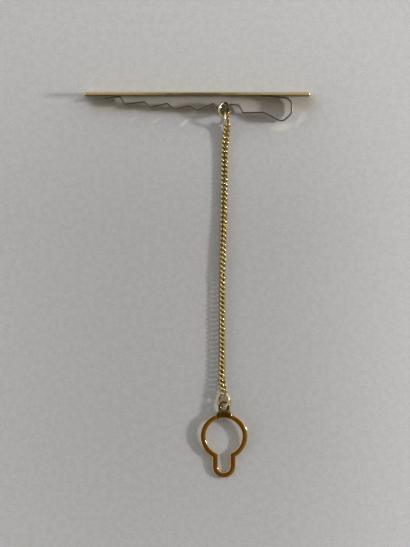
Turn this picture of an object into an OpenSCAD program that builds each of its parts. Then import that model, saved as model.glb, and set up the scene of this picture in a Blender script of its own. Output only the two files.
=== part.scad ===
// Tie clip with a safety chain and a keyhole-shaped button loop.
// It lies as if put down on a table: the bar stands on its long edge, and the chain and the loop lie flat.
// X runs along the bar, +Y points to the bar's front and +Z is up. Z = 0 is the surface it lies on, and the
// origin is the middle of the whole object's footprint. Sizes are in millimetres.

/* [Whole] */
// Length from the bar's front face to the far end of the button loop
total_len = 102.4; // [102.2:0.1:102.8]

/* [Bar] */
// Length of the bar
bar_len = 60; // [56:0.5:64]
// Width of the bar's face, which stands upright here
bar_face = 5; // [4.8:0.1:6]
// Thickness of the bar
bar_thick = 0.9; // [0.8:0.05:1.2]
// Corner radius of the bar's face
bar_corner = 0.6; // [0.2:0.1:1.5]

/* [Spring clip] */
// Width of the spring strip
strip_width = 3.2; // [3.1:0.05:3.2]
// Thickness of the spring strip
strip_thick = 0.45; // [0.35:0.05:0.45]
// Radius of the hole in the strip that the upper jump ring passes through
strip_hole_r = 0.65; // [0.65:0.05:0.7]

/* [Jump rings] */
// Wire diameter of the jump rings
ring_wire = 0.5; // [0.4:0.05:0.5]
// Centreline radius of the jump rings
ring_r = 1.8; // [1.78:0.01:1.82]

/* [Chain] */
// Wire diameter of the curb links
link_wire = 0.45; // [0.38:0.01:0.46]
// Half the length of a link's centreline
link_half_len = 0.9; // [0.89:0.01:0.91]
// Half the width of a link's centreline
link_half_width = 0.72; // [0.7:0.01:0.74]
// Angle that each half of a link is twisted by
link_twist = 57; // [54:1:60]

/* [Button loop] */
// Radius of the round opening that the button goes through
opening_r = 4.8; // [4.5:0.1:5]
// Width of the band that the loop is made of
band_width = 1.5; // [1.3:0.1:1.6]
// Thickness of the band
band_thick = 0.9; // [0.8:0.05:1]
// Radius that the band's four edges are rounded to
band_edge = 0.25; // [0.1:0.05:0.35]
// Width of the slot that grips the button's thread
slot_gap = 3.2; // [2.8:0.1:3.6]
// Distance from the centre of the opening to the outer end of the slot
slot_reach = 11.15; // [11:0.05:11.6]
// Width of the lug above the opening
lug_width = 3; // [2.8:0.1:3.2]
// Thickness of the lug round its eye
lug_thick = 0.5; // [0.45:0.05:0.5]
// Width of the lug's foot where it runs over the band
lug_foot_width = 4.2; // [3.6:0.1:4.6]
// Radius of the eye in the lug
eye_r = 0.85; // [0.85:0.05:0.9]
// Distance from the centre of the opening to the centre of the eye
eye_reach = 7.95; // [7.9:0.05:8]
// Angle at which the loop leans on its lower ring
loop_lean = 5; // [4.5:0.5:5.5]

/* [Hidden] */
$fn = 72;

gold = [0.83, 0.68, 0.38];
white_metal = [0.66, 0.64, 0.60];

// The bar's back face, and the height of the middle of its face
bar_back_y = total_len / 2 - bar_thick;
mid_z = bar_face / 2;

// Folds of the spring strip, from its free tip to its foot: how far along the bar the two straight runs
// meet, how far behind the bar's back, and the radius of the bend between them
FOLD_X = 0;
FOLD_DEPTH = 1;
FOLD_R = 2;
foot_depth = strip_thick / 2;
folds = [
    [-24.6, 1.12, 0],
    [-22.6, 0.60, 3],
    [-20.4, 0.40, 0.4],
    [-19.2, 2.40, 0.4],
    [-14.0, 1.70, 0.4],
    [-12.5, 3.30, 0.4],
    [-8.0, 2.15, 0.4],
    [-5.9, 3.75, 0.5],
    [-2.2, 2.70, 1.2],
    [0.0, 4.05, 0.6],
    [4.4, 2.15, 0.4],
    [5.9, 4.20, 0.4],
    [8.9, 2.35, 0.6],
    [11.05, 2.62, 0.5],
    [12.1, 4.60, 0.5],
    [17.7, 4.50, 2.0],
    [22.55, 7.08, 1.7],
    [25.05, 4.70, 1.6],
    [24.95, 0.80, 2.0],
    [19.0, foot_depth, 3.0],
    [16.8, foot_depth, 0],
];
bend_step = 20;

// The strip's hole: the fold that its run starts from, and how far along that run it lies
hole_fold = 11;
hole_share = 0.78;

// The button loop: radii of its band's centreline round the opening and round the slot's end, where the
// slot's end is centred, and the place of the opening's centre, so that the slot's end rests on the surface
opening_mid_r = opening_r + band_width / 2;
slot_mid_r = slot_gap / 2 + band_width / 2;
slot_end = slot_reach - slot_mid_r - band_width / 2;
leg_top = sqrt(opening_mid_r ^ 2 - slot_mid_r ^ 2);
low_edge = [slot_reach - band_edge, band_thick / 2 - band_edge];
loop_at = [
    7.1,
    -total_len / 2 + low_edge.x * cos(loop_lean) + low_edge.y * sin(loop_lean) + band_edge,
    low_edge.x * sin(loop_lean) + low_edge.y * cos(loop_lean) + band_edge
];
lug_foot_thick = band_thick + 0.1;
lug_foot_top = eye_reach - eye_r - 0.15;
eye_at = loop_at + eye_reach * [0, cos(loop_lean), sin(loop_lean)];

// Jump rings: centre, and the turns about X, Y and Z that take each ring out of the flat, Y first and Z last.
// The upper ring goes through the strip's hole and over the strip's upper edge.
upper_at = [7.15, bar_back_y - 3.7, 3.44];
upper_turns = [8, 43.5, 0];
middle_at = [7.76, bar_back_y - 5.99, 2.24];
middle_turns = [8.4, 76.4, 4.6];
lower_nod = 7;
lower_at = eye_at + [0, ring_r * cos(lower_nod) - 0.1, 0.05 - ring_r * sin(lower_nod)];
lower_turns = [-lower_nod, -42, 0];

// Route of the chain's middle from the middle ring to the lower ring: the place along Y, the place along X,
// the least height, and the roll of the links, where 0 lies flat and 90 stands on edge
ROUTE_Y = 0;
ROUTE_X = 1;
ROUTE_Z = 2;
ROUTE_ROLL = 3;
route = [
    [-28.6, 7.16, 1.78, 156],
    [-26.7, 6.82, 1.44, 136],
    [-24.6, 6.60, 1.12, 112],
    [-22.0, 6.55, 0.90, 90],
    [-17.2, 6.67, 0.60, 90],
    [-9.3, 6.67, 0.60, 90],
    [-4.0, 6.70, 0.60, 90],
    [4.1, 6.75, 0.60, 69],
    [14.7, 7.07, 0.60, 41],
    [25.4, 7.23, 0.60, 12],
    [30.0, 7.25, 0.60, 0],
    [34.9, 7.30, 0.70, 0],
    [37.3, 7.40, 0.84, 0],
    [39.2, 7.58, 1.03, 0],
    [40.8, 7.85, 1.27, -3],
    [42.4, 7.90, 1.68, -10],
];
first_y = 42.34;
last_y = -28.40;

// Number of links, which fill the route at the spacing that keeps each link clear inside the next
link_count = 59;

// Space left below the links that lie on the surface
under_gap = 0.03;

// A link's corners and sides, how square its ends are and how sharply it turns between its two twisted halves,
// where 1 is even and less is sharper
link_stations = 14;
link_sides = 6;
link_square = 0.6;
link_turn = 0.6;

function unit(v) = v / norm(v);
function turned(v, angle) = [v.x * cos(angle) - v.y * sin(angle), v.x * sin(angle) + v.y * cos(angle)];

// Arc of one fold: the two runs leave the corner toward the last and the next fold
function fold_arc(corner, to_last, to_next, r) =
    let (
        half = acos(to_last * to_next) / 2,
        centre = corner + unit(to_last + to_next) * r / sin(half),
        start = corner + to_last * r / tan(half) - centre,
        sweep = sign(cross(to_next, to_last)) * (180 - 2 * half),
        steps = max(2, ceil(abs(sweep) / bend_step))
    )
    [for (k = [0:steps]) centre + turned(start, sweep * k / steps)];

// Middle line of the strip, seen from above
corners = [for (fold = folds) [fold[FOLD_X], bar_back_y - fold[FOLD_DEPTH]]];
strip_line = [
    for (i = [0:len(folds) - 1])
        let (r = folds[i][FOLD_R])
        each r == 0
            ? [corners[i]]
            : fold_arc(corners[i], unit(corners[i - 1] - corners[i]), unit(corners[i + 1] - corners[i]), r)
];

// One side of the strip: the middle line moved sideways
strip_ways = [for (i = [1:len(strip_line) - 1]) unit(strip_line[i] - strip_line[i - 1])];
function strip_side(shift) = [
    for (i = [0:len(strip_line) - 1])
        let (way = unit(strip_ways[max(i - 1, 0)] + strip_ways[min(i, len(strip_ways) - 1)]))
        strip_line[i] + shift * [-way.y, way.x]
];

// Centreline of one twisted link, lying along Y round the origin
function link_point(t) =
    let (
        side = link_half_width * sign(sin(t)) * abs(sin(t)) ^ link_square,
        twist = link_twist * sign(cos(t)) * abs(cos(t)) ^ link_turn
    )
    [side * cos(twist), link_half_len * cos(t), side * sin(twist)];

// Ring of corners round the wire at one station of a link
function wire_ring(t) =
    let (
        p = link_point(t),
        way = unit(link_point(t + 8) - link_point(t - 8)),
        out = unit(p - (p * way) * way),
        up = cross(way, out)
    )
    [
        for (j = [0:link_sides - 1])
            let (a = 360 * j / link_sides)
            p + link_wire / 2 * (cos(a) * out + sin(a) * up)
    ];
link_shape = [for (k = [0:link_stations - 1]) each wire_ring(360 * k / link_stations)];

// The chain's route at a place along Y, and the places of its links, evenly spaced along the route
function along(y, column) = lookup(y, [for (row = route) [row[ROUTE_Y], row[column]]]);
function rest_z(roll) = max([for (p = link_shape) abs(p.x * sin(roll) + p.z * cos(roll))]) + under_gap;
function route_at(y) = [along(y, ROUTE_X), y, max(along(y, ROUTE_Z), rest_z(along(y, ROUTE_ROLL)))];
function route_way(y) = route_at(y + 0.6) - route_at(y - 0.6);
route_steps = 350;
route_step = (first_y - last_y) / route_steps;
route_len = [
    for (i = 0, y = first_y, length = 0;
        i <= route_steps;
        length = length + norm(route_at(y) - route_at(y - route_step)), y = y - route_step, i = i + 1)
        [length, y]
];
function link_y(i) = lookup(route_len[route_steps][0] * i / (link_count - 1), route_len);

// Axes of a link: across, along and up, after its roll
function link_axes(y) =
    let (
        roll = along(y, ROUTE_ROLL),
        ahead = unit(route_way(y)),
        across = unit([1, 0, 0] - ahead.x * ahead),
        up = cross(across, ahead)
    )
    [cos(roll) * across + sin(roll) * up, ahead, cos(roll) * up - sin(roll) * across];

// A quad between two stations of a ring, as two triangles
function quad(a, b, c, d) = [[a, b, c], [a, c, d]];

// Rectangle with rounded corners, centred
module rounded_rect(width, height, r) {
    square([width - 2 * r, height], center = true);
    square([width, height - 2 * r], center = true);
    for (x = [-1, 1], y = [-1, 1])
        translate([x * (width / 2 - r), y * (height / 2 - r)])
            circle(r = r);
}

// Cross-section of the button loop's band
module band_section() {
    rounded_rect(band_width, band_thick, band_edge);
}

module jump_ring(at, turns) {
    translate(at)
        rotate([0, 0, turns.z])
            rotate([turns.x, 0, 0])
                rotate([0, turns.y, 0])
                    rotate_extrude()
                        translate([ring_r, 0])
                            circle(d = ring_wire);
}

// The flat bar that shows when the clip is worn, standing on its long edge
module bar() {
    color(gold)
        translate([0, total_len / 2, mid_z])
            rotate([90, 0, 0])
                linear_extrude(bar_thick)
                    rounded_rect(bar_len, bar_face, bar_corner);
}

// The folded spring strip on the bar's back, with a hole for the chain's ring
module spring_clip() {
    low = strip_side(-strip_thick / 2);
    run = corners[hole_fold + 1] - corners[hole_fold];
    hole_at = corners[hole_fold] + hole_share * run;
    color(white_metal)
        difference() {
            translate([0, 0, mid_z - strip_width / 2])
                linear_extrude(strip_width)
                    polygon(concat(strip_side(strip_thick / 2), [for (i = [len(low) - 1:-1:0]) low[i]]));
            translate([hole_at.x, hole_at.y, mid_z])
                rotate([90, 0, atan2(run.y, run.x)])
                    cylinder(h = 4 * strip_thick, r = strip_hole_r, center = true);
        }
}

module upper_jump_ring() {
    color(gold)
        jump_ring(upper_at, upper_turns);
}

module middle_jump_ring() {
    color(gold)
        jump_ring(middle_at, middle_turns);
}

module lower_jump_ring() {
    color(gold)
        jump_ring(lower_at, lower_turns);
}

// The curb chain: loose twisted links, each through the next
module chain() {
    link_corners = link_stations * link_sides;
    points = [
        for (i = [0:link_count - 1])
            let (y = link_y(i), axes = link_axes(y), at = route_at(y))
            for (p = link_shape)
                at + p * axes
    ];
    faces = [
        for (i = [0:link_count - 1], k = [0:link_stations - 1], j = [0:link_sides - 1])
            let (
                base = i * link_corners,
                here = base + k * link_sides,
                ahead = base + ((k + 1) % link_stations) * link_sides,
                side = (j + 1) % link_sides
            )
            each quad(here + j, ahead + j, ahead + side, here + side)
    ];
    color(gold)
        polyhedron(points, faces, convexity = 10);
}

// The keyhole-shaped loop: a round opening, a slot below it and a lug with an eye above it
module button_loop() {
    neck = slot_mid_r - 0.4;
    color(gold)
        translate(loop_at)
            rotate([loop_lean, 0, 0])
                difference() {
                    union() {
                        // Band round the opening, open at the slot
                        difference() {
                            rotate_extrude()
                                translate([opening_mid_r, 0])
                                    band_section();
                            translate([-neck, -opening_r - 2 * band_width, -band_thick])
                                cube([2 * neck, opening_r, 2 * band_thick]);
                        }
                        // Legs of the slot
                        for (side = [-1, 1])
                            translate([side * slot_mid_r, -leg_top, 0])
                                rotate([90, 0, 0])
                                    linear_extrude(slot_end - leg_top)
                                        band_section();
                        // Round end of the slot
                        translate([0, -slot_end, 0])
                            rotate_extrude(angle = 180, start = 180)
                                translate([slot_mid_r, 0])
                                    band_section();
                        // Lug
                        translate([0, 0, -lug_thick / 2])
                            linear_extrude(lug_thick) {
                                translate([0, eye_reach])
                                    circle(d = lug_width);
                                translate([-lug_width / 2, opening_mid_r])
                                    square([lug_width, eye_reach - opening_mid_r]);
                            }
                        // Foot of the lug, which spreads over the band
                        translate([0, 0, -lug_foot_thick / 2])
                            linear_extrude(lug_foot_thick)
                                difference() {
                                    polygon([
                                        [-lug_foot_width / 2, opening_r - band_edge],
                                        [lug_foot_width / 2, opening_r - band_edge],
                                        [lug_foot_width / 2, opening_mid_r],
                                        [lug_width / 2, lug_foot_top],
                                        [-lug_width / 2, lug_foot_top],
                                        [-lug_foot_width / 2, opening_mid_r],
                                    ]);
                                    circle(r = opening_r + band_edge);
                                }
                    }
                    translate([0, eye_reach, -lug_thick])
                        cylinder(h = 2 * lug_thick, r = eye_r);
                }
}

bar();
spring_clip();
upper_jump_ring();
middle_jump_ring();
chain();
lower_jump_ring();
button_loop();
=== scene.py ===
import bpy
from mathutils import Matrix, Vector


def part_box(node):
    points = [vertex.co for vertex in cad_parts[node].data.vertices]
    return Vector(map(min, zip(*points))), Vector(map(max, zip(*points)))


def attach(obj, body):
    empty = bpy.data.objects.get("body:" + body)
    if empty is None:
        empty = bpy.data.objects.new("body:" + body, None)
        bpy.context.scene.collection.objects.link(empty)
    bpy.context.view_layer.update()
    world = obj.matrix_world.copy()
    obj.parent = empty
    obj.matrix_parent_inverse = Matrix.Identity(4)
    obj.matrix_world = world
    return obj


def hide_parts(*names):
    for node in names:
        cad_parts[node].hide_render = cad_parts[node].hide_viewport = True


bl_info = {
    "name": "Tie clip with chain and button loop",
    "version": (1, 0, 0),
    "blender": (4, 5, 0),
    "location": "3D View > Sidebar > Tie clip",
    "description": "Models a tie clip, its safety chain and its button loop round the packed solids",
    "category": "Add Mesh",
}

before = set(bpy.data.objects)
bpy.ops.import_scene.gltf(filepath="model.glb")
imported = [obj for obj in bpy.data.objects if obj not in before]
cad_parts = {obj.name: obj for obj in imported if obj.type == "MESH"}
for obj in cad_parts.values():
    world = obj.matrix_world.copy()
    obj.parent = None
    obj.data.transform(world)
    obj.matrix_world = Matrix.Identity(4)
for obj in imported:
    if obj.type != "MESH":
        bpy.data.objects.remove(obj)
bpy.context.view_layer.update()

from itertools import accumulate
from math import acos, asin, atan2, ceil, copysign, cos, degrees, hypot, pi, radians, sin, sqrt, tan

import bpy
from mathutils import Matrix, Vector

MM = 0.001

# Places nearer to each other than this, in metres, are taken as one
SAME_PLACE = 1e-7

# Folds of the spring strip in millimetres, from its free tip to its foot: how far along the bar two straight
# runs meet, how far behind the bar's back, and the radius of the bend between them
FOLDS = [
    (-24.6, 1.12, 0),
    (-22.6, 0.60, 3),
    (-20.4, 0.40, 0.4),
    (-19.2, 2.40, 0.4),
    (-14.0, 1.70, 0.4),
    (-12.5, 3.30, 0.4),
    (-8.0, 2.15, 0.4),
    (-5.9, 3.75, 0.5),
    (-2.2, 2.70, 1.2),
    (0.0, 4.05, 0.6),
    (4.4, 2.15, 0.4),
    (5.9, 4.20, 0.4),
    (8.9, 2.35, 0.6),
    (11.05, 2.62, 0.5),
    (12.1, 4.60, 0.5),
    (17.7, 4.50, 2.0),
    (22.55, 7.08, 1.7),
    (25.05, 4.70, 1.6),
    (24.95, 0.80, 2.0),
    (19.0, 0.225, 3.0),
    (16.8, 0.225, 0),
]

# Most degrees that one step of a bend of the strip turns through
BEND_STEP = 7

# The strip's hole lies on the run from this fold to the next, this far along it
HOLE_FOLD = 11
HOLE_SHARE = 0.78

# Jump rings: node, centre in millimetres, and the turns about X, Y and Z out of the flat, in degrees
RINGS = [
    ("upper_jump_ring", (7.15, 46.6, 3.44), (8, 43.5, 0)),
    ("middle_jump_ring", (7.76, 44.31, 2.24), (8.4, 76.4, 4.6)),
    ("lower_jump_ring", (7.1, -30.4677, 1.923), (-7, -42, 0)),
]

# Route of the chain's middle in millimetres: the place along Y, the place along X, the least height, and the
# roll of the links in degrees, where 0 lies flat and 90 stands on edge
ROUTE = [
    (-28.6, 7.16, 1.78, 156),
    (-26.7, 6.82, 1.44, 136),
    (-24.6, 6.60, 1.12, 112),
    (-22.0, 6.55, 0.90, 90),
    (-17.2, 6.67, 0.60, 90),
    (-9.3, 6.67, 0.60, 90),
    (-4.0, 6.70, 0.60, 90),
    (4.1, 6.75, 0.60, 69),
    (14.7, 7.07, 0.60, 41),
    (25.4, 7.23, 0.60, 12),
    (30.0, 7.25, 0.60, 0),
    (34.9, 7.30, 0.70, 0),
    (37.3, 7.40, 0.84, 0),
    (39.2, 7.58, 1.03, 0),
    (40.8, 7.85, 1.27, -3),
    (42.4, 7.90, 1.68, -10),
]
ROUTE_X, ROUTE_Z, ROUTE_ROLL = 1, 2, 3
FIRST_Y = 42.34
LAST_Y = -28.40
LINK_COUNT = 59

# The height at which a link lies on the sheet is worked out at as many stations of its centreline as the
# exact solids have, with this share of the wire's radius below it. A link modelled here has more stations,
# and on edge it reaches about 0.07 mm lower. The space left below the links, in millimetres, makes up for it
LINK_STATIONS = 14
WIRE_REACH = 0.97
UNDER_GAP = 0.08

# Bright patches that the spring throws on the sheet, in millimetres and degrees: the place of each, its turn
# out of X, half its length, half its width, and how bright it is
PATCHES = [
    (-17.1, 44.4, 25, 1.9, 0.5, 0.30),
    (-10.9, 43.9, 30, 1.6, 0.5, 0.35),
    (-3.4, 43.3, 38, 2.0, 0.6, 0.65),
    (22.3, 42.2, 8, 3.8, 1.4, 0.55),
    (27.6, 44.3, 58, 3.2, 1.0, 0.40),
]

# Middle of the lug's eye over the sheet, in millimetres
EYE_PLACE = (7.1, -31.3)

# Where the camera hangs, in metres, and its lens and sensor in millimetres, which give 3.75 pixels for each
# millimetre on the sheet
CAMERA_PLACE = (2.07 * MM, 3.13 * MM, 0.7)
CAMERA_LENS = 172.9
CAMERA_SENSOR = 36

# How square a link's ends are, and how sharply it turns between its twisted halves, where 1 is even and less
# is sharper
LINK_SQUARE = 0.6
LINK_TURN = 0.6


def length_property(name, description, millimetres):
    return bpy.props.FloatProperty(
        name=name, description=description, default=millimetres * MM, min=0, precision=5,
        subtype="DISTANCE", unit="LENGTH",
    )


def angle_property(name, description, degrees_):
    return bpy.props.FloatProperty(
        name=name, description=description, default=radians(degrees_), subtype="ANGLE",
    )


def colour_property(name, description, colour):
    return bpy.props.FloatVectorProperty(
        name=name, description=description, default=colour, size=3, min=0, max=1, subtype="COLOR",
    )


class TieClipSizes(bpy.types.PropertyGroup):
    """Sizes of the clip, its chain and its loop"""

    bar_corner: length_property("Bar corner", "Radius of the four corners of the bar's face", 0.6)
    bar_front_edge: length_property("Bar front edge", "Rounding of the outline of the bar's front", 0.42)
    bar_back_edge: length_property("Bar back edge", "Rounding of the outline of the bar's back", 0.08)
    strip_width: length_property("Strip width", "Width of the spring strip", 3.2)
    strip_thick: length_property("Strip thickness", "Thickness of the spring strip", 0.45)
    strip_hole: length_property("Strip hole", "Radius of the hole that the upper ring passes through", 0.65)
    strip_edge: length_property("Strip edge", "Rounding of the spring strip's edges", 0.15)
    ring_radius: length_property("Ring radius", "Centreline radius of a jump ring", 1.8)
    ring_wire: length_property("Ring wire", "Wire diameter of a jump ring", 0.6)
    link_half_length: length_property("Link half length", "Half the length of a link's centreline", 0.9)
    link_half_width: length_property("Link half width", "Half the width of a link's centreline", 0.72)
    link_wire: length_property("Link wire", "Wire diameter of a chain link", 0.53)
    link_twist: angle_property("Link twist", "Angle that each half of a link is twisted by", 57)
    opening_radius: length_property("Opening radius", "Radius of the opening for the button", 4.8)
    band_width: length_property("Band width", "Width of the loop's band", 1.5)
    band_thick: length_property("Band thickness", "Thickness of the loop's band", 0.9)
    band_edge: length_property("Band edge", "Rounding of the loop's band", 0.24)
    slot_gap: length_property("Slot gap", "Width of the slot that grips the button's thread", 3.2)
    slot_reach: length_property("Slot reach", "From the opening's centre to the slot's outer end", 11.15)
    lug_width: length_property("Lug width", "Width of the lug above the opening", 3.0)
    lug_foot_width: length_property("Lug foot width", "Width of the lug's foot on the band", 4.2)
    lug_thick: length_property("Lug thickness", "Thickness of the lug", 0.5)
    eye_radius: length_property("Eye radius", "Radius of the eye in the lug", 0.85)
    eye_reach: length_property("Eye reach", "From the opening's centre to the eye's centre", 7.95)
    loop_lean: angle_property("Loop lean", "Angle at which the loop leans on its lower ring", 5)


class TieClipColours(bpy.types.PropertyGroup):
    """Colours of the metals and of the paper below them"""

    bar_gold: colour_property("Bar gold", "Reflected colour of the bar's plating", (0.86, 0.69, 0.42))
    ring_gold: colour_property("Ring gold", "Reflected colour of the jump rings", (0.98, 0.88, 0.62))
    wire_gold: colour_property("Wire gold", "Reflected colour of the chain", (0.84, 0.69, 0.35))
    loop_gold: colour_property("Loop gold", "Reflected colour of the loop's plating", (0.83, 0.585, 0.29))
    worn_gold: colour_property("Worn gold", "Duller tone where the plating is handled", (0.64, 0.45, 0.23))
    spring_metal: colour_property("Spring metal", "Reflected colour of the spring strip", (0.75, 0.71, 0.62))
    worn_spring: colour_property("Worn spring", "Duller tone of the spring strip", (0.45, 0.42, 0.38))
    paper: colour_property("Paper", "Colour of the sheet that the clip lies on", (0.52, 0.525, 0.536))


class Value:
    """An output socket. Arithmetic on it adds Math nodes to its tree."""

    def __init__(self, tree, socket):
        self.tree = tree
        self.socket = socket

    def math(self, operation, first, second=0.0):
        return add_node(self.tree, "ShaderNodeMath", {"operation": operation}, {0: first, 1: second})

    def __add__(self, other):
        return self.math("ADD", self, other)

    def __sub__(self, other):
        return self.math("SUBTRACT", self, other)

    def __rsub__(self, other):
        return self.math("SUBTRACT", other, self)

    def __mul__(self, other):
        return self.math("MULTIPLY", self, other)

    def __truediv__(self, other):
        return self.math("DIVIDE", self, other)

    def __pow__(self, other):
        return self.math("POWER", self, other)

    def __abs__(self):
        return self.math("ABSOLUTE", self)

    __radd__ = __add__
    __rmul__ = __mul__


def add_node(tree, kind, settings, inputs, output=0):
    """Adds one node: its settings first, then the values or links of its sockets."""
    node = tree.nodes.new(kind)
    for name, value in settings.items():
        setattr(node, name, value)
    for name, value in inputs.items():
        if isinstance(value, Value):
            tree.links.new(value.socket, node.inputs[name])
        else:
            node.inputs[name].default_value = value
    return Value(tree, node.outputs[output]) if node.outputs else None


def new_tree(owner):
    owner.use_nodes = True
    owner.node_tree.nodes.clear()
    return owner.node_tree


def noise(tree, place, scale, detail, stretch=None):
    """Noise of a given size of grain, stretched along an axis where stretch says so."""
    if stretch:
        place = add_node(tree, "ShaderNodeVectorMath", {"operation": "MULTIPLY"}, {0: place, 1: stretch})
    return add_node(tree, "ShaderNodeTexNoise", {}, {"Vector": place, "Scale": scale, "Detail": detail})


def mix_colours(tree, factor, first, second):
    return add_node(
        tree, "ShaderNodeMix", {"data_type": "RGBA"},
        {0: factor, 6: as_colour(first), 7: as_colour(second)}, output=2,
    )


def as_colour(value):
    return value if isinstance(value, Value) else (*value, 1.0)


def scaled(colour, factor):
    return tuple(factor * c for c in colour)


def step(tree, value, low, high):
    """0 below low, 1 above high and a smooth rise between."""
    return add_node(
        tree, "ShaderNodeMapRange", {"interpolation_type": "SMOOTHSTEP"},
        {"Value": value, "From Min": low, "From Max": high, "To Min": 0.0, "To Max": 1.0},
    )


def bump(tree, height, depth):
    return add_node(
        tree, "ShaderNodeBump", {}, {"Height": height, "Distance": depth, "Strength": 1.0},
    )


def polished_metal(name, colour, worn, shade_and_dull, roughness, wear, ripple, scratches, matt=0.0):
    """Plated metal: soft hand polish with worn patches, fine scratches along one axis and a slight ripple.

    The mesh's attribute that names its dark colour says how much of that colour the metal takes at a place:
    painted shade on the bar's back, the rings' inner sides and the chain's middle, and a darker tone on the
    spring's edges and the loop's lug. Matt says how much of the polish it loses there to a dark diffuse
    surface.
    """
    material = bpy.data.materials.new(name)
    tree = new_tree(material)
    place = add_node(tree, "ShaderNodeTexCoord", {}, {}, output="Object")
    patches = step(tree, noise(tree, place, 520.0, 4.0), 0.45, 0.68)
    grain = noise(tree, place, 9000.0, 3.0)
    hair = noise(tree, place, 2600.0, 5.0, scratches)
    tone = mix_colours(tree, patches * wear, colour, worn)
    amount = add_node(tree, "ShaderNodeAttribute", {"attribute_name": "shade_and_dull"}, {}, output="Fac")
    tone = mix_colours(tree, amount, tone, shade_and_dull)
    height = hair * 0.35 + noise(tree, place, 300.0, 1.0) * ripple + grain * 0.08
    metal = add_node(
        tree, "ShaderNodeBsdfPrincipled", {},
        {
            "Base Color": tone,
            "Metallic": 1.0,
            "Roughness": roughness + patches * (0.5 * wear * roughness) + hair * 0.03 + grain * 0.015,
            "Normal": bump(tree, height, 0.004 * MM),
        },
    )
    # The dark diffuse deepens the marked tone: painted shade on the bar's back, a darker tone on the
    # spring's edges
    if matt:
        dark_diffuse = add_node(tree, "ShaderNodeBsdfDiffuse", {}, {"Color": as_colour(scaled(shade_and_dull, 0.4))})
        metal = add_node(tree, "ShaderNodeMixShader", {}, {0: amount * matt, 1: metal, 2: dark_diffuse})
    add_node(tree, "ShaderNodeOutputMaterial", {}, {"Surface": metal})
    return material


def distance_to(east, north, x, y):
    """Distance in metres on the sheet to a place given in millimetres."""
    return ((east - x * MM) ** 2.0 + (north - y * MM) ** 2.0) ** 0.5


def add_cast_light(tree, east, north, tone):
    """Light that the metal throws on the sheet, which the renderer doesn't follow, painted into its colour,
    and painted shade tinted by the gold beside it.
    """
    for x, y, turn, half_length, half_width, bright in PATCHES:
        off_x, off_y = (east - x * MM), (north - y * MM)
        cosine, sine = cos(radians(turn)), sin(radians(turn))
        lengthwise = (off_x * cosine + off_y * sine) / (half_length * MM)
        crosswise = (off_y * cosine - off_x * sine) / (half_width * MM)
        patch = step(tree, lengthwise * lengthwise + crosswise * crosswise, 1.0, 0.1)
        tone = mix_colours(tree, patch * bright, tone, (0.86, 0.85, 0.82))
    # Painted shade, tinted by light bounced off the gold, behind the bar, under the chain, in the upper ring
    # and in the lug's eye, placed in metres
    behind_bar = step(tree, north, 0.0445, 0.0485) * step(tree, north, 0.0512, 0.0505)
    behind_bar = behind_bar * step(tree, east, -0.029, -0.026) * step(tree, east, 0.034, 0.029)
    # The chain's middle wanders to the right as it nears the bar
    middle = 0.00662 + step(tree, north, -0.002, 0.034) * 0.0007 + step(tree, north, 0.035, 0.043) * 0.0006
    under_chain = step(tree, abs(east - middle), 0.0011, 0.0005)
    under_chain = under_chain * step(tree, north, -0.0295, -0.028) * step(tree, north, 0.0435, 0.042)
    in_upper_ring = step(tree, distance_to(east, north, *RINGS[0][1][:2]), 0.0020, 0.0012)
    in_eye = step(tree, distance_to(east, north, *EYE_PLACE), 0.0023, 0.0014)
    for amount, gold in (
        (behind_bar, (0.88, 0.80, 0.69)),
        (under_chain, (0.72, 0.50, 0.16)),
        (in_upper_ring, (0.62, 0.46, 0.20)),
        (in_eye, (0.62, 0.50, 0.30)),
    ):
        tone = add_node(
            tree, "ShaderNodeMix", {"data_type": "RGBA", "blend_type": "MULTIPLY"},
            {0: amount, 6: tone, 7: as_colour(gold)}, output=2,
        )
    return tone


def paper_material(colour):
    """Matt sheet with a faint cloudiness and a fine tooth, its tone carrying painted light and shade."""
    material = bpy.data.materials.new("paper")
    tree = new_tree(material)
    place = add_node(tree, "ShaderNodeTexCoord", {}, {}, output="Object")
    clouds = noise(tree, place, 45.0, 3.0)
    mottle = step(tree, noise(tree, place, 620.0, 2.0), 0.3, 0.7)
    tooth = step(tree, noise(tree, place, 2200.0, 3.0), 0.3, 0.7)
    east, north = (
        add_node(tree, "ShaderNodeSeparateXYZ", {}, {"Vector": place}, output=axis) for axis in "XY"
    )
    # Painted light and shade: the sheet is paler away from the clip, most of all to the right and above
    painted_dim = 1.0 - step(tree, north, 0.01, 0.078) * 0.9
    painted_dim = painted_dim * (1.0 - step(tree, east, 0.012, 0.075) * 0.95)
    painted_dim = painted_dim * (1.0 - step(tree, east, -0.012, -0.07) * 0.5)
    painted_dim = painted_dim * (1.0 - step(tree, north, -0.03, -0.09) * 0.3)
    palest = 0.86
    pale = tuple(min(palest, c) for c in scaled(colour, 1.335))
    grain = clouds * 0.1 + mottle * 0.35 + tooth * 0.55
    shade = mix_colours(tree, grain, scaled(colour, 0.88), scaled(colour, 1.08))
    pale = mix_colours(tree, grain, scaled(pale, 0.90), scaled(pale, 1.08))
    sheet_tone = add_cast_light(tree, east, north, mix_colours(tree, painted_dim, pale, shade))
    sheet = add_node(
        tree, "ShaderNodeBsdfPrincipled", {},
        {
            "Base Color": sheet_tone,
            "Roughness": 0.85,
            "Specular IOR Level": 0.2,
            "Normal": bump(tree, tooth, 0.01 * MM),
        },
    )
    add_node(tree, "ShaderNodeOutputMaterial", {}, {"Surface": sheet})
    return material


def select_nothing():
    bpy.ops.object.select_all(action="DESELECT")


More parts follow.
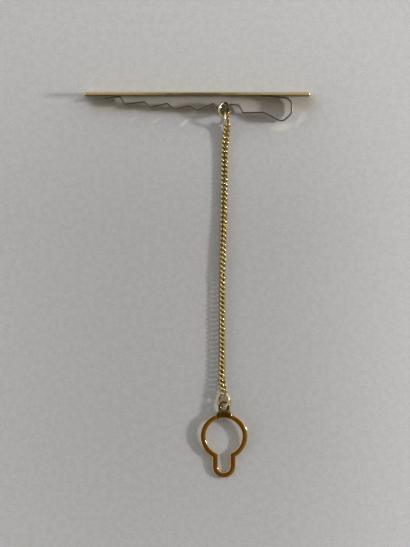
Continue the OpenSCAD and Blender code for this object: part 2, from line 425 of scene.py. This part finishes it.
def edit_mesh(choose_edges, *actions):
    """In edit mode, selects the edges that the test picks, and runs the actions on them."""
    mesh = bpy.context.object.data
    bpy.ops.object.mode_set(mode="EDIT")
    bpy.ops.mesh.select_mode(type="EDGE")
    bpy.ops.mesh.select_all(action="DESELECT")
    bpy.ops.object.mode_set(mode="OBJECT")
    for edge in mesh.edges:
        a, b = (mesh.vertices[i].co for i in edge.vertices)
        edge.select = choose_edges(a, b)
    bpy.ops.object.mode_set(mode="EDIT")
    for action in actions:
        action()
    bpy.ops.object.mode_set(mode="OBJECT")


def bevel_sharp_edges(piece, width, segments, least_angle=50):
    """Rounds every edge that is sharper than the least angle."""
    modifier = piece.modifiers.new("rounded", "BEVEL")
    modifier.width = width
    modifier.segments = segments
    modifier.limit_method = "ANGLE"
    modifier.angle_limit = radians(least_angle)
    modifier.harden_normals = False
    bpy.ops.object.modifier_apply(modifier=modifier.name)


def mark_shade_and_dull(piece, amount):
    """Stores how much of the metal's dark tone, painted shade in most uses, each vertex takes, from 0 to 1,
    as a function of its place in the mesh.
    """
    values = piece.data.attributes.new("shade_and_dull", "FLOAT", "POINT")
    for vertex, value in zip(piece.data.vertices, values.data):
        value.value = min(1.0, max(0.0, amount(vertex.co)))


def outward(piece):
    bpy.ops.object.mode_set(mode="EDIT")
    bpy.ops.mesh.select_all(action="SELECT")
    bpy.ops.mesh.remove_doubles(threshold=SAME_PLACE)
    bpy.ops.mesh.normals_make_consistent(inside=False)
    bpy.ops.object.mode_set(mode="OBJECT")


def finish_piece(piece, node, material, smooth_angle=35, flat_faces=True):
    """Puts the piece's place in its mesh, smooths it, and lets it stand for its CAD node."""
    bpy.ops.object.transform_apply(location=True, rotation=True, scale=True)
    outward(piece)
    bpy.ops.object.shade_smooth_by_angle(angle=radians(smooth_angle))
    if flat_faces:
        modifier = piece.modifiers.new("even_shading", "WEIGHTED_NORMAL")
        modifier.keep_sharp = True
        bpy.ops.object.modifier_apply(modifier=modifier.name)
    piece.name = "polished_" + node
    piece.data.name = piece.name
    piece.data.materials.clear()
    piece.data.materials.append(material)
    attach(piece, "root")
    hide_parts(node)
    select_nothing()


class MESH_OT_tie_bar(bpy.types.Operator):
    """Adds the flat bar that shows when the clip is worn"""

    bl_idname = "mesh.tie_bar"
    bl_label = "Bar"

    def execute(self, context):
        sizes = context.scene.tie_clip_sizes
        colours = context.scene.tie_clip_colours
        low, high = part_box("bar")
        select_nothing()
        bpy.ops.mesh.primitive_cube_add(size=1, location=(low + high) / 2, scale=high - low)
        bar = context.object
        bpy.ops.object.transform_apply(location=True, rotation=True, scale=True)
        edit_mesh(
            lambda a, b: abs(a.x - b.x) < SAME_PLACE and abs(a.z - b.z) < SAME_PLACE,
            lambda: bpy.ops.mesh.bevel(offset=sizes.bar_corner, segments=10, affect="EDGES"),
        )
        edit_mesh(
            lambda a, b: min(a.y, b.y) > high.y - SAME_PLACE,
            lambda: bpy.ops.mesh.bevel(offset=sizes.bar_front_edge, segments=8, affect="EDGES"),
        )
        edit_mesh(
            lambda a, b: max(a.y, b.y) < low.y + SAME_PLACE,
            lambda: bpy.ops.mesh.bevel(offset=sizes.bar_back_edge, segments=3, affect="EDGES"),
        )
        # Painted shade: its back and the rim toward it take the dark tone and lose some polish
        mark_shade_and_dull(bar, lambda place: place.y < low.y + sizes.bar_back_edge * 0.5)
        gold = polished_metal(
            "bar_gold", colours.bar_gold, colours.worn_gold, shade_and_dull=(0.12, 0.07, 0.02),
            roughness=0.055, wear=0.35, ripple=3.0, scratches=(0.04, 1, 1), matt=0.4,
        )
        finish_piece(bar, "bar", gold)
        return {"FINISHED"}


def fold_arc(corner, last, after, radius):
    """Centre, start and sweep in degrees of the bend at a corner between two straight runs."""
    to_last = (last - corner).normalized()
    to_next = (after - corner).normalized()
    half = acos(to_last.dot(to_next)) / 2
    centre = corner + (to_last + to_next).normalized() * (radius / sin(half))
    start = corner + to_last * (radius / tan(half))
    sweep = copysign(pi - 2 * half, to_next.x * to_last.y - to_next.y * to_last.x)
    return centre, start, sweep


class MESH_OT_tie_spring_clip(bpy.types.Operator):
    """Adds the folded spring strip behind the bar, bent from one flat strip"""

    bl_idname = "mesh.tie_spring_clip"
    bl_label = "Spring clip"

    def execute(self, context):
        sizes = context.scene.tie_clip_sizes
        colours = context.scene.tie_clip_colours
        low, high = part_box("bar")
        middle = (low.z + high.z) / 2
        corners = [Vector((x * MM, low.y - depth * MM)) for x, depth, _ in FOLDS]
        select_nothing()
        # The strip starts as one upright edge at its free tip
        bpy.ops.mesh.primitive_plane_add(
            size=sizes.strip_width, location=(corners[0].x, corners[0].y, middle), rotation=(pi / 2, 0, 0),
        )
        strip = context.object
        bpy.ops.object.transform_apply(location=True, rotation=True, scale=True)
        left = min(v.co.x for v in strip.data.vertices)
        bpy.ops.object.mode_set(mode="EDIT")
        bpy.ops.mesh.select_mode(type="VERT")
        bpy.ops.mesh.select_all(action="DESELECT")
        bpy.ops.object.mode_set(mode="OBJECT")
        for vertex in strip.data.vertices:
            vertex.select = vertex.co.x > left + SAME_PLACE
        bpy.ops.object.mode_set(mode="EDIT")
        bpy.ops.mesh.delete(type="VERT")
        bpy.ops.mesh.select_all(action="SELECT")
        bpy.ops.transform.translate(value=(corners[0].x - left, 0, 0))
        at = corners[0]
        for i in range(1, len(corners)):
            radius = FOLDS[i][2] * MM
            if radius:
                centre, start, sweep = fold_arc(corners[i], corners[i - 1], corners[i + 1], radius)
                steps = max(3, ceil(abs(degrees(sweep)) / BEND_STEP))
            else:
                centre, start, sweep, steps = corners[i], corners[i], 0, 0
            run = start - at
            bpy.ops.mesh.extrude_edges_move(TRANSFORM_OT_translate={"value": (run.x, run.y, 0)})
            at = start
            for k in range(steps):
                arm = Matrix.Rotation(sweep / steps * (k + 1), 2) @ (start - centre)
                turn = centre + arm - at
                bpy.ops.mesh.extrude_edges_move(TRANSFORM_OT_translate={"value": (turn.x, turn.y, 0)})
                at = centre + arm
        bpy.ops.object.mode_set(mode="OBJECT")
        outward(strip)
        wall = strip.modifiers.new("thickness", "SOLIDIFY")
        wall.thickness = sizes.strip_thick
        wall.offset = 0
        wall.use_even_offset = True
        bpy.ops.object.modifier_apply(modifier=wall.name)
        bevel_sharp_edges(strip, sizes.strip_edge, segments=6)
        run = corners[HOLE_FOLD + 1] - corners[HOLE_FOLD]
        hole = corners[HOLE_FOLD] + HOLE_SHARE * run
        select_nothing()
        bpy.ops.mesh.primitive_cylinder_add(
            vertices=48, radius=sizes.strip_hole, depth=4 * sizes.strip_thick,
            location=(hole.x, hole.y, middle), rotation=(pi / 2, 0, atan2(run.y, run.x)),
        )
        drill = context.object
        select_nothing()
        strip.select_set(True)
        context.view_layer.objects.active = strip
        cut = strip.modifiers.new("hole", "BOOLEAN")
        cut.operation = "DIFFERENCE"
        cut.solver = "EXACT"
        cut.object = drill
        bpy.ops.object.modifier_apply(modifier=cut.name)
        bpy.data.objects.remove(drill)
        # Its two long edges take a darker, less polished tone from three quarters of their rounding outward
        flank = sizes.strip_width / 2 - sizes.strip_edge
        mark_shade_and_dull(strip, lambda place: 6 * (abs(place.z - middle) - flank) / sizes.strip_edge - 4.5)
        metal = polished_metal(
            "spring_metal", colours.spring_metal, colours.worn_spring, shade_and_dull=(0.17, 0.13, 0.09),
            roughness=0.12, wear=0.4, ripple=0.8, scratches=(1, 1, 0.05), matt=0.5,
        )
        finish_piece(strip, "spring_clip", metal)
        return {"FINISHED"}


class MESH_OT_tie_jump_rings(bpy.types.Operator):
    """Adds the three jump rings, each with the fine cut where it was closed"""

    bl_idname = "mesh.tie_jump_rings"
    bl_label = "Jump rings"

    def execute(self, context):
        sizes = context.scene.tie_clip_sizes
        colours = context.scene.tie_clip_colours
        gold = polished_metal(
            "ring_gold", colours.ring_gold, colours.worn_gold, shade_and_dull=(0.30, 0.19, 0.05),
            roughness=0.07, wear=0.2, ripple=0.5, scratches=(1, 1, 1),
        )
        select_nothing()
        sectors = 180
        bpy.ops.mesh.primitive_torus_add(
            major_radius=sizes.ring_radius, minor_radius=sizes.ring_wire / 2,
            major_segments=sectors, minor_segments=20,
        )
        ring = context.object
        # Two sectors are taken out for the cut, and the wire's two ends are closed and rounded
        near = 1.2 * pi / sectors
        bpy.ops.object.mode_set(mode="EDIT")
        bpy.ops.mesh.select_mode(type="FACE")
        bpy.ops.mesh.select_all(action="DESELECT")
        bpy.ops.object.mode_set(mode="OBJECT")
        for face in ring.data.polygons:
            x, y, _ = face.center
            face.select = x < 0 and abs(asin(y / hypot(x, y))) < near
        bpy.ops.object.mode_set(mode="EDIT")
        bpy.ops.mesh.delete(type="FACE")
        bpy.ops.mesh.select_mode(type="EDGE")
        bpy.ops.mesh.select_all(action="DESELECT")
        bpy.ops.mesh.select_non_manifold()
        bpy.ops.mesh.fill_holes(sides=0)
        bpy.ops.object.mode_set(mode="OBJECT")
        bevel_sharp_edges(ring, 0.03 * MM, segments=2, least_angle=60)
        # Painted shade: the inner side of the wire is darker
        middle, wire = sizes.ring_radius, sizes.ring_wire
        mark_shade_and_dull(ring, lambda place: 0.4 - 5 * (hypot(place.x, place.y) - middle) / wire)
        rings = [ring]
        for _ in RINGS[1:]:
            bpy.ops.object.duplicate(linked=False)
            rings.append(context.object)
        for ring, (node, centre, turns) in zip(rings, RINGS):
            select_nothing()
            ring.select_set(True)
            context.view_layer.objects.active = ring
            ring.location = Vector(centre) * MM
            # The turn about Y comes first, then the one about X, then the one about Z
            about_x, about_y, about_z = (radians(t) for t in turns)
            ring.rotation_mode = "YXZ"
            ring.rotation_euler = (about_x, about_y, about_z)
            finish_piece(ring, node, gold, smooth_angle=40)
        return {"FINISHED"}


def along(y, column):
    """The route's value in a column at a place along Y."""
    if y <= ROUTE[0][0]:
        return ROUTE[0][column]
    for low, high in zip(ROUTE, ROUTE[1:]):
        if y <= high[0]:
            share = (y - low[0]) / (high[0] - low[0])
            return low[column] + share * (high[column] - low[column])
    return ROUTE[-1][column]


def link_line(sizes, count):
    """Centreline of one twisted link in millimetres, lying along Y round the origin."""
    points = []
    for k in range(count):
        t = 2 * pi * k / count
        side = sizes.link_half_width / MM * copysign(abs(sin(t)) ** LINK_SQUARE, sin(t))
        twist = sizes.link_twist * copysign(abs(cos(t)) ** LINK_TURN, cos(t))
        points.append(Vector((side * cos(twist), sizes.link_half_length / MM * cos(t), side * sin(twist))))
    return points


def link_places(sizes):
    """Place and axes of each link, evenly spaced along the route."""
    line = link_line(sizes, LINK_STATIONS)
    half_wire = sizes.link_wire / MM / 2

    def lowest(roll):
        return max(abs(p.x * sin(roll) + p.z * cos(roll)) + half_wire * WIRE_REACH for p in line) + UNDER_GAP

    def place(y):
        least = lowest(radians(along(y, ROUTE_ROLL)))
        return Vector((along(y, ROUTE_X), y, max(along(y, ROUTE_Z), least)))

    # A link points along the route between two places this far before it and after it, in millimetres
    nearby = 0.6
    steps = 350
    ys = [FIRST_Y + (LAST_Y - FIRST_Y) * i / steps for i in range(steps + 1)]
    lengths = [0.0, *accumulate((place(b) - place(a)).length for a, b in zip(ys, ys[1:]))]
    places = []
    for i in range(LINK_COUNT):
        goal = lengths[-1] * i / (LINK_COUNT - 1)
        k = next((k for k in range(steps) if lengths[k + 1] >= goal), steps - 1)
        y = ys[k] + (ys[k + 1] - ys[k]) * (goal - lengths[k]) / (lengths[k + 1] - lengths[k])
        ahead = (place(y + nearby) - place(y - nearby)).normalized()
        across = (Vector((1, 0, 0)) - ahead.x * ahead).normalized()
        up = across.cross(ahead)
        roll = radians(along(y, ROUTE_ROLL))
        axes = (cos(roll) * across + sin(roll) * up, ahead, cos(roll) * up - sin(roll) * across)
        turn = Matrix(axes).transposed().to_4x4()
        places.append(Matrix.Translation(place(y) * MM) @ turn)
    return places


class MESH_OT_tie_chain(bpy.types.Operator):
    """Adds the curb chain: one twisted link, copied along the chain's route"""

    bl_idname = "mesh.tie_chain"
    bl_label = "Chain"

    def execute(self, context):
        sizes = context.scene.tie_clip_sizes
        colours = context.scene.tie_clip_colours
        stations = 36
        select_nothing()
        bpy.ops.mesh.primitive_circle_add(vertices=stations, radius=sizes.link_half_length)
        link = context.object
        for vertex, point in zip(link.data.vertices, link_line(sizes, stations)):
            vertex.co = point * MM
        bpy.ops.object.convert(target="CURVE")
        link.data.bevel_depth = sizes.link_wire / 2
        link.data.bevel_resolution = 3
        bpy.ops.object.convert(target="MESH")
        outward(link)
        # Painted shade: the metal is darker the nearer it lies to the chain's middle
        widest = sizes.link_half_width + sizes.link_wire / 2
        mark_shade_and_dull(link, lambda place: 2.6 - 3.1 * hypot(place.x, place.z) / widest)
        places = link_places(sizes)
        links = [link]
        for _ in places[1:]:
            bpy.ops.object.duplicate(linked=False)
            links.append(context.object)
        select_nothing()
        for link, place in zip(links, places):
            link.matrix_world = place
            link.select_set(True)
        context.view_layer.objects.active = links[0]
        bpy.ops.object.join()
        chain = context.object
        gold = polished_metal(
            "chain_gold", colours.wire_gold, colours.worn_gold, shade_and_dull=(0.32, 0.20, 0.045),
            roughness=0.08, wear=0.3, ripple=0.4, scratches=(1, 1, 1),
        )
        finish_piece(chain, "chain", gold, smooth_angle=60, flat_faces=False)
        return {"FINISHED"}


def keyhole(radius, half_gap, reach, fillet, arc_steps=88, end_steps=32, fillet_steps=8):
    """Outline of a keyhole: a circle round the origin, a slot below it, and rounded necks between them."""
    centre_x = half_gap + fillet
    centre_y = -sqrt((radius + fillet) ** 2 - centre_x ** 2)
    neck = asin(centre_x / (radius + fillet))
    points = []
    for k in range(arc_steps + 1):
        angle = -pi / 2 + neck + (2 * pi - 2 * neck) * k / arc_steps
        points.append((radius * cos(angle), radius * sin(angle)))
    for k in range(1, fillet_steps + 1):
        angle = pi / 2 - neck - (pi / 2 - neck) * k / fillet_steps
        points.append((-centre_x + fillet * cos(angle), centre_y + fillet * sin(angle)))
    end_y = -(reach - half_gap)
    points.append((-half_gap, (centre_y + end_y) / 2))
    for k in range(end_steps + 1):
        angle = pi + pi * k / end_steps
        points.append((half_gap * cos(angle), end_y + half_gap * sin(angle)))
    points.append((half_gap, (centre_y + end_y) / 2))
    for k in range(fillet_steps):
        angle = pi - (pi / 2 - neck) * k / fillet_steps
        points.append((centre_x + fillet * cos(angle), centre_y + fillet * sin(angle)))
    return points


def plate_between(outer, inner, low, thick):
    """Adds a flat plate between two outlines of as many points, standing from low up by its thickness."""
    count = len(outer)
    # The circles' radii don't matter, because every vertex is moved
    bpy.ops.mesh.primitive_circle_add(vertices=count, radius=1)
    plate = bpy.context.object
    bpy.ops.object.mode_set(mode="EDIT")
    bpy.ops.mesh.primitive_circle_add(vertices=count, radius=2)
    bpy.ops.object.mode_set(mode="OBJECT")
    for vertex, (x, y) in zip(plate.data.vertices, [*outer, *inner]):
        vertex.co = (x, y, low)
    bpy.ops.object.mode_set(mode="EDIT")
    bpy.ops.mesh.select_mode(type="EDGE")
    bpy.ops.mesh.select_all(action="SELECT")
    bpy.ops.mesh.bridge_edge_loops()
    bpy.ops.mesh.select_all(action="SELECT")
    bpy.ops.mesh.extrude_region_move(TRANSFORM_OT_translate={"value": (0, 0, thick)})
    bpy.ops.object.mode_set(mode="OBJECT")
    outward(plate)
    return plate


def solid_between(upper, lower, low, thick):
    """Adds a solid between two rows of as many points, standing from low up by its thickness."""
    count = len(upper)
    bpy.ops.mesh.primitive_grid_add(x_subdivisions=count - 1, y_subdivisions=1, size=2)
    solid = bpy.context.object
    ordered = sorted(solid.data.vertices, key=lambda v: (round(v.co.y, 6), -v.co.x))
    for vertex, (x, y) in zip(ordered, [*lower, *upper]):
        vertex.co = (x, y, low)
    bpy.ops.object.mode_set(mode="EDIT")
    bpy.ops.mesh.select_all(action="SELECT")
    bpy.ops.mesh.extrude_region_move(TRANSFORM_OT_translate={"value": (0, 0, thick)})
    bpy.ops.object.mode_set(mode="OBJECT")
    outward(solid)
    return solid


class MESH_OT_tie_button_loop(bpy.types.Operator):
    """Adds the keyhole-shaped loop with its lug, as one solid piece"""

    bl_idname = "mesh.tie_button_loop"
    bl_label = "Button loop"

    def execute(self, context):
        sizes = context.scene.tie_clip_sizes
        colours = context.scene.tie_clip_colours
        low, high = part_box("button_loop")
        width, thick, reach = sizes.band_width, sizes.band_thick, sizes.slot_reach
        select_nothing()
        band = plate_between(
            keyhole(sizes.opening_radius + width, sizes.slot_gap / 2 + width, reach, fillet=0.8 * MM),
            keyhole(sizes.opening_radius, sizes.slot_gap / 2, reach - width, fillet=0.4 * MM),
            -thick / 2, thick,
        )
        bevel_sharp_edges(band, sizes.band_edge, segments=5)
        select_nothing()
        # The lug is a plate round its eye: half round above, square below, where it runs into the band
        half = sizes.lug_width / 2
        below = sizes.eye_reach - sizes.opening_radius - width / 2
        lug_outline, eye_outline = [], []
        points = 64
        for k in range(points):
            x, y = cos(2 * pi * k / points), sin(2 * pi * k / points)
            stretch = 1 / max(abs(x), abs(y)) if y < 0 else 1
            down = below if y < 0 else half
            lug_outline.append((half * x * stretch, sizes.eye_reach + down * y * stretch))
            eye_outline.append((sizes.eye_radius * x, sizes.eye_reach + sizes.eye_radius * y))
        lug = plate_between(lug_outline, eye_outline, -sizes.lug_thick / 2, sizes.lug_thick)
        bevel_sharp_edges(lug, 0.14 * MM, segments=4)
        # Its foot spreads over the band and stands a little proud of it. The foot's lower side follows the
        # opening, its flanks come in to the lug, and it stays clear of the eye
        wide, slim = sizes.lug_foot_width / 2, sizes.lug_width / 2
        edge_r = sizes.opening_radius + sizes.band_edge
        rim_y = sizes.opening_radius + width / 2
        eye_gap, raised, columns = 0.15 * MM, 0.05 * MM, 16
        top_y = sizes.eye_reach - sizes.eye_radius - eye_gap
        across = [wide - 2 * wide * k / columns for k in range(columns + 1)]
        upper = [(x, rim_y + (top_y - rim_y) * min(1, (wide - abs(x)) / (wide - slim))) for x in across]
        lower = [(x, sqrt(edge_r ** 2 - x ** 2)) for x in across]
        foot = solid_between(upper, lower, -thick / 2 - raised, thick + 2 * raised)
        bevel_sharp_edges(foot, 0.1 * MM, segments=3)
        for part in (lug, foot):
            select_nothing()
            band.select_set(True)
            context.view_layer.objects.active = band
            joint = band.modifiers.new("lug", "BOOLEAN")
            joint.operation = "UNION"
            joint.solver = "EXACT"
            joint.object = part
            bpy.ops.object.modifier_apply(modifier=joint.name)
            bpy.data.objects.remove(part)
        # The lug and its foot take a darker tone than the band
        clear = 0.02 * MM
        proud, rim = thick / 2 + clear, sizes.opening_radius + width + clear
        mark_shade_and_dull(band, lambda place: abs(place.z) > proud or hypot(place.x, place.y) > rim and place.y > 0)
        # It leans on its lower ring with the slot's end on the surface
        lean = sizes.loop_lean
        edge = sizes.band_edge
        out, up = reach - edge, thick / 2 - edge
        band.location = (
            (low.x + high.x) / 2,
            low.y + out * cos(lean) + up * sin(lean) + edge,
            out * sin(lean) + up * cos(lean) + edge,
        )
        band.rotation_euler = (lean, 0, 0)
        gold = polished_metal(
            "loop_gold", colours.loop_gold, colours.worn_gold, shade_and_dull=(0.34, 0.27, 0.10),
            roughness=0.06, wear=0.5, ripple=12.0, scratches=(1, 1, 1),
        )
        finish_piece(band, "button_loop", gold)
        return {"FINISHED"}


def add_light(name, azimuth, elevation, distance, width, height, power, colour):
    """Adds a rectangular light that faces the middle of the stage from the given direction, in degrees."""
    turn, rise = radians(azimuth), radians(elevation)
    away = Vector((cos(rise) * cos(turn), cos(rise) * sin(turn), sin(rise)))
    bpy.ops.object.light_add(
        type="AREA", location=away * distance, rotation=(pi / 2 - rise, 0, turn + pi / 2),
    )
    light = bpy.context.object
    light.name = name
    light.data.shape = "RECTANGLE"
    light.data.size = width
    light.data.size_y = height
    light.data.energy = power
    light.data.color = colour
    select_nothing()


def room_world():
    """The room as the metal mirrors it. East, north and height are parts of the direction looked in."""
    world = bpy.data.worlds.new("room")
    tree = new_tree(world)
    way = add_node(tree, "ShaderNodeTexCoord", {}, {}, output="Generated")
    east, north, height = (
        add_node(tree, "ShaderNodeSeparateXYZ", {}, {"Vector": way}, output=axis) for axis in "XYZ"
    )
    # Overhead it is pale to both sides and paler toward the bar's front, and brown toward the loop
    aside = mix_colours(tree, step(tree, east, -0.01, 0.01), (0.30, 0.29, 0.27), (0.36, 0.36, 0.31))
    aside = mix_colours(tree, step(tree, north, 0.08, 0.32), aside, (0.60, 0.59, 0.56))
    brown = mix_colours(tree, step(tree, east, -0.03, 0.12), (0.10, 0.05, 0.013), (0.20, 0.135, 0.045))
    overhead = mix_colours(tree, step(tree, north, -0.04, -0.15), aside, brown)
    # The walls are dark behind the loop and pale beyond the bar
    walls = mix_colours(tree, step(tree, north, 0.25, 0.55), (0.055, 0.05, 0.045), (0.46, 0.46, 0.45))
    # The one to the left is lit by the window
    lit = step(tree, east, -0.30, -0.72) * step(tree, height, 0.80, 0.52) * step(tree, north, -0.75, -0.35)
    walls = mix_colours(tree, lit, walls, (1.5, 1.52, 1.52))
    right = step(tree, east, 0.45, 0.75) * step(tree, height, 0.80, 0.5)
    walls = mix_colours(tree, right, walls, (0.55, 0.54, 0.51))
    walls = mix_colours(tree, step(tree, height, 0.42, 0.15), walls, (0.38, 0.37, 0.34))
    # A bright curtain to the right shows in the steep sides of the strip's teeth
    curtain = step(tree, east, 0.38, 0.58) * step(tree, north, 0.06, 0.20)
    curtain = curtain * step(tree, height, 0.80, 0.62) * step(tree, height, 0.08, 0.2)
    walls = mix_colours(tree, curtain, walls, (1.5, 1.47, 1.38))
    room = mix_colours(tree, step(tree, height, 0.86, 0.70), overhead, walls)
    # The camera hides a narrow field overhead, which shows as the dark middle of the bar
    camera_zone = step(tree, east, -0.022, -0.010) * step(tree, east, 0.018, 0.004)
    camera_zone = camera_zone * step(tree, north, -0.15, -0.04) * step(tree, north, 0.95, 0.75)
    room = mix_colours(tree, camera_zone, room, (0.035, 0.024, 0.012))
    light = add_node(tree, "ShaderNodeBackground", {}, {"Color": room, "Strength": 1.0})
    add_node(tree, "ShaderNodeOutputWorld", {}, {"Surface": light})
    return world


class OBJECT_OT_tie_stage(bpy.types.Operator):
    """Adds the sheet below, the soft light round it and the camera straight above"""

    bl_idname = "object.tie_stage"
    bl_label = "Stage"

    def execute(self, context):
        colours = context.scene.tie_clip_colours
        select_nothing()
        bpy.ops.mesh.primitive_plane_add(size=3)
        sheet = context.object
        sheet.name = "paper_sheet"
        sheet.data.materials.append(paper_material(colours.paper))

        context.scene.world = room_world()
        add_light(
            "window", azimuth=5, elevation=25, distance=0.75, width=0.10, height=0.07, power=3.35,
            colour=(1.0, 0.985, 0.98),
        )

        bpy.ops.object.camera_add(location=CAMERA_PLACE, rotation=(0, 0, 0))
        camera = context.object
        camera.name = "camera_above"
        camera.data.lens = CAMERA_LENS
        camera.data.sensor_width = CAMERA_SENSOR
        camera.data.clip_start = 0.01
        context.scene.camera = camera
        context.scene.view_settings.view_transform = "Standard"
        select_nothing()
        return {"FINISHED"}


OPERATORS = (
    MESH_OT_tie_bar,
    MESH_OT_tie_spring_clip,
    MESH_OT_tie_jump_rings,
    MESH_OT_tie_chain,
    MESH_OT_tie_button_loop,
    OBJECT_OT_tie_stage,
)


class VIEW3D_PT_tie_clip(bpy.types.Panel):
    """Buttons and sizes of the tie clip"""

    bl_idname = "VIEW3D_PT_tie_clip"
    bl_label = "Tie clip"
    bl_space_type = "VIEW_3D"
    bl_region_type = "UI"
    bl_category = "Tie clip"

    def draw(self, context):
        column = self.layout.column()
        for operator in OPERATORS:
            column.operator(operator.bl_idname)
        for group in (context.scene.tie_clip_sizes, context.scene.tie_clip_colours):
            for name in group.__annotations__:
                column.prop(group, name)


CLASSES = (TieClipSizes, TieClipColours, *OPERATORS, VIEW3D_PT_tie_clip)


def register():
    for cls in CLASSES:
        bpy.utils.register_class(cls)
    bpy.types.Scene.tie_clip_sizes = bpy.props.PointerProperty(type=TieClipSizes)
    bpy.types.Scene.tie_clip_colours = bpy.props.PointerProperty(type=TieClipColours)


def unregister():
    del bpy.types.Scene.tie_clip_colours
    del bpy.types.Scene.tie_clip_sizes
    for cls in reversed(CLASSES):
        bpy.utils.unregister_class(cls)


def main():
    register()
    bpy.ops.mesh.tie_bar()
    bpy.ops.mesh.tie_spring_clip()
    bpy.ops.mesh.tie_jump_rings()
    bpy.ops.mesh.tie_chain()
    bpy.ops.mesh.tie_button_loop()
    bpy.ops.object.tie_stage()


if __name__ == "__main__":
    main()
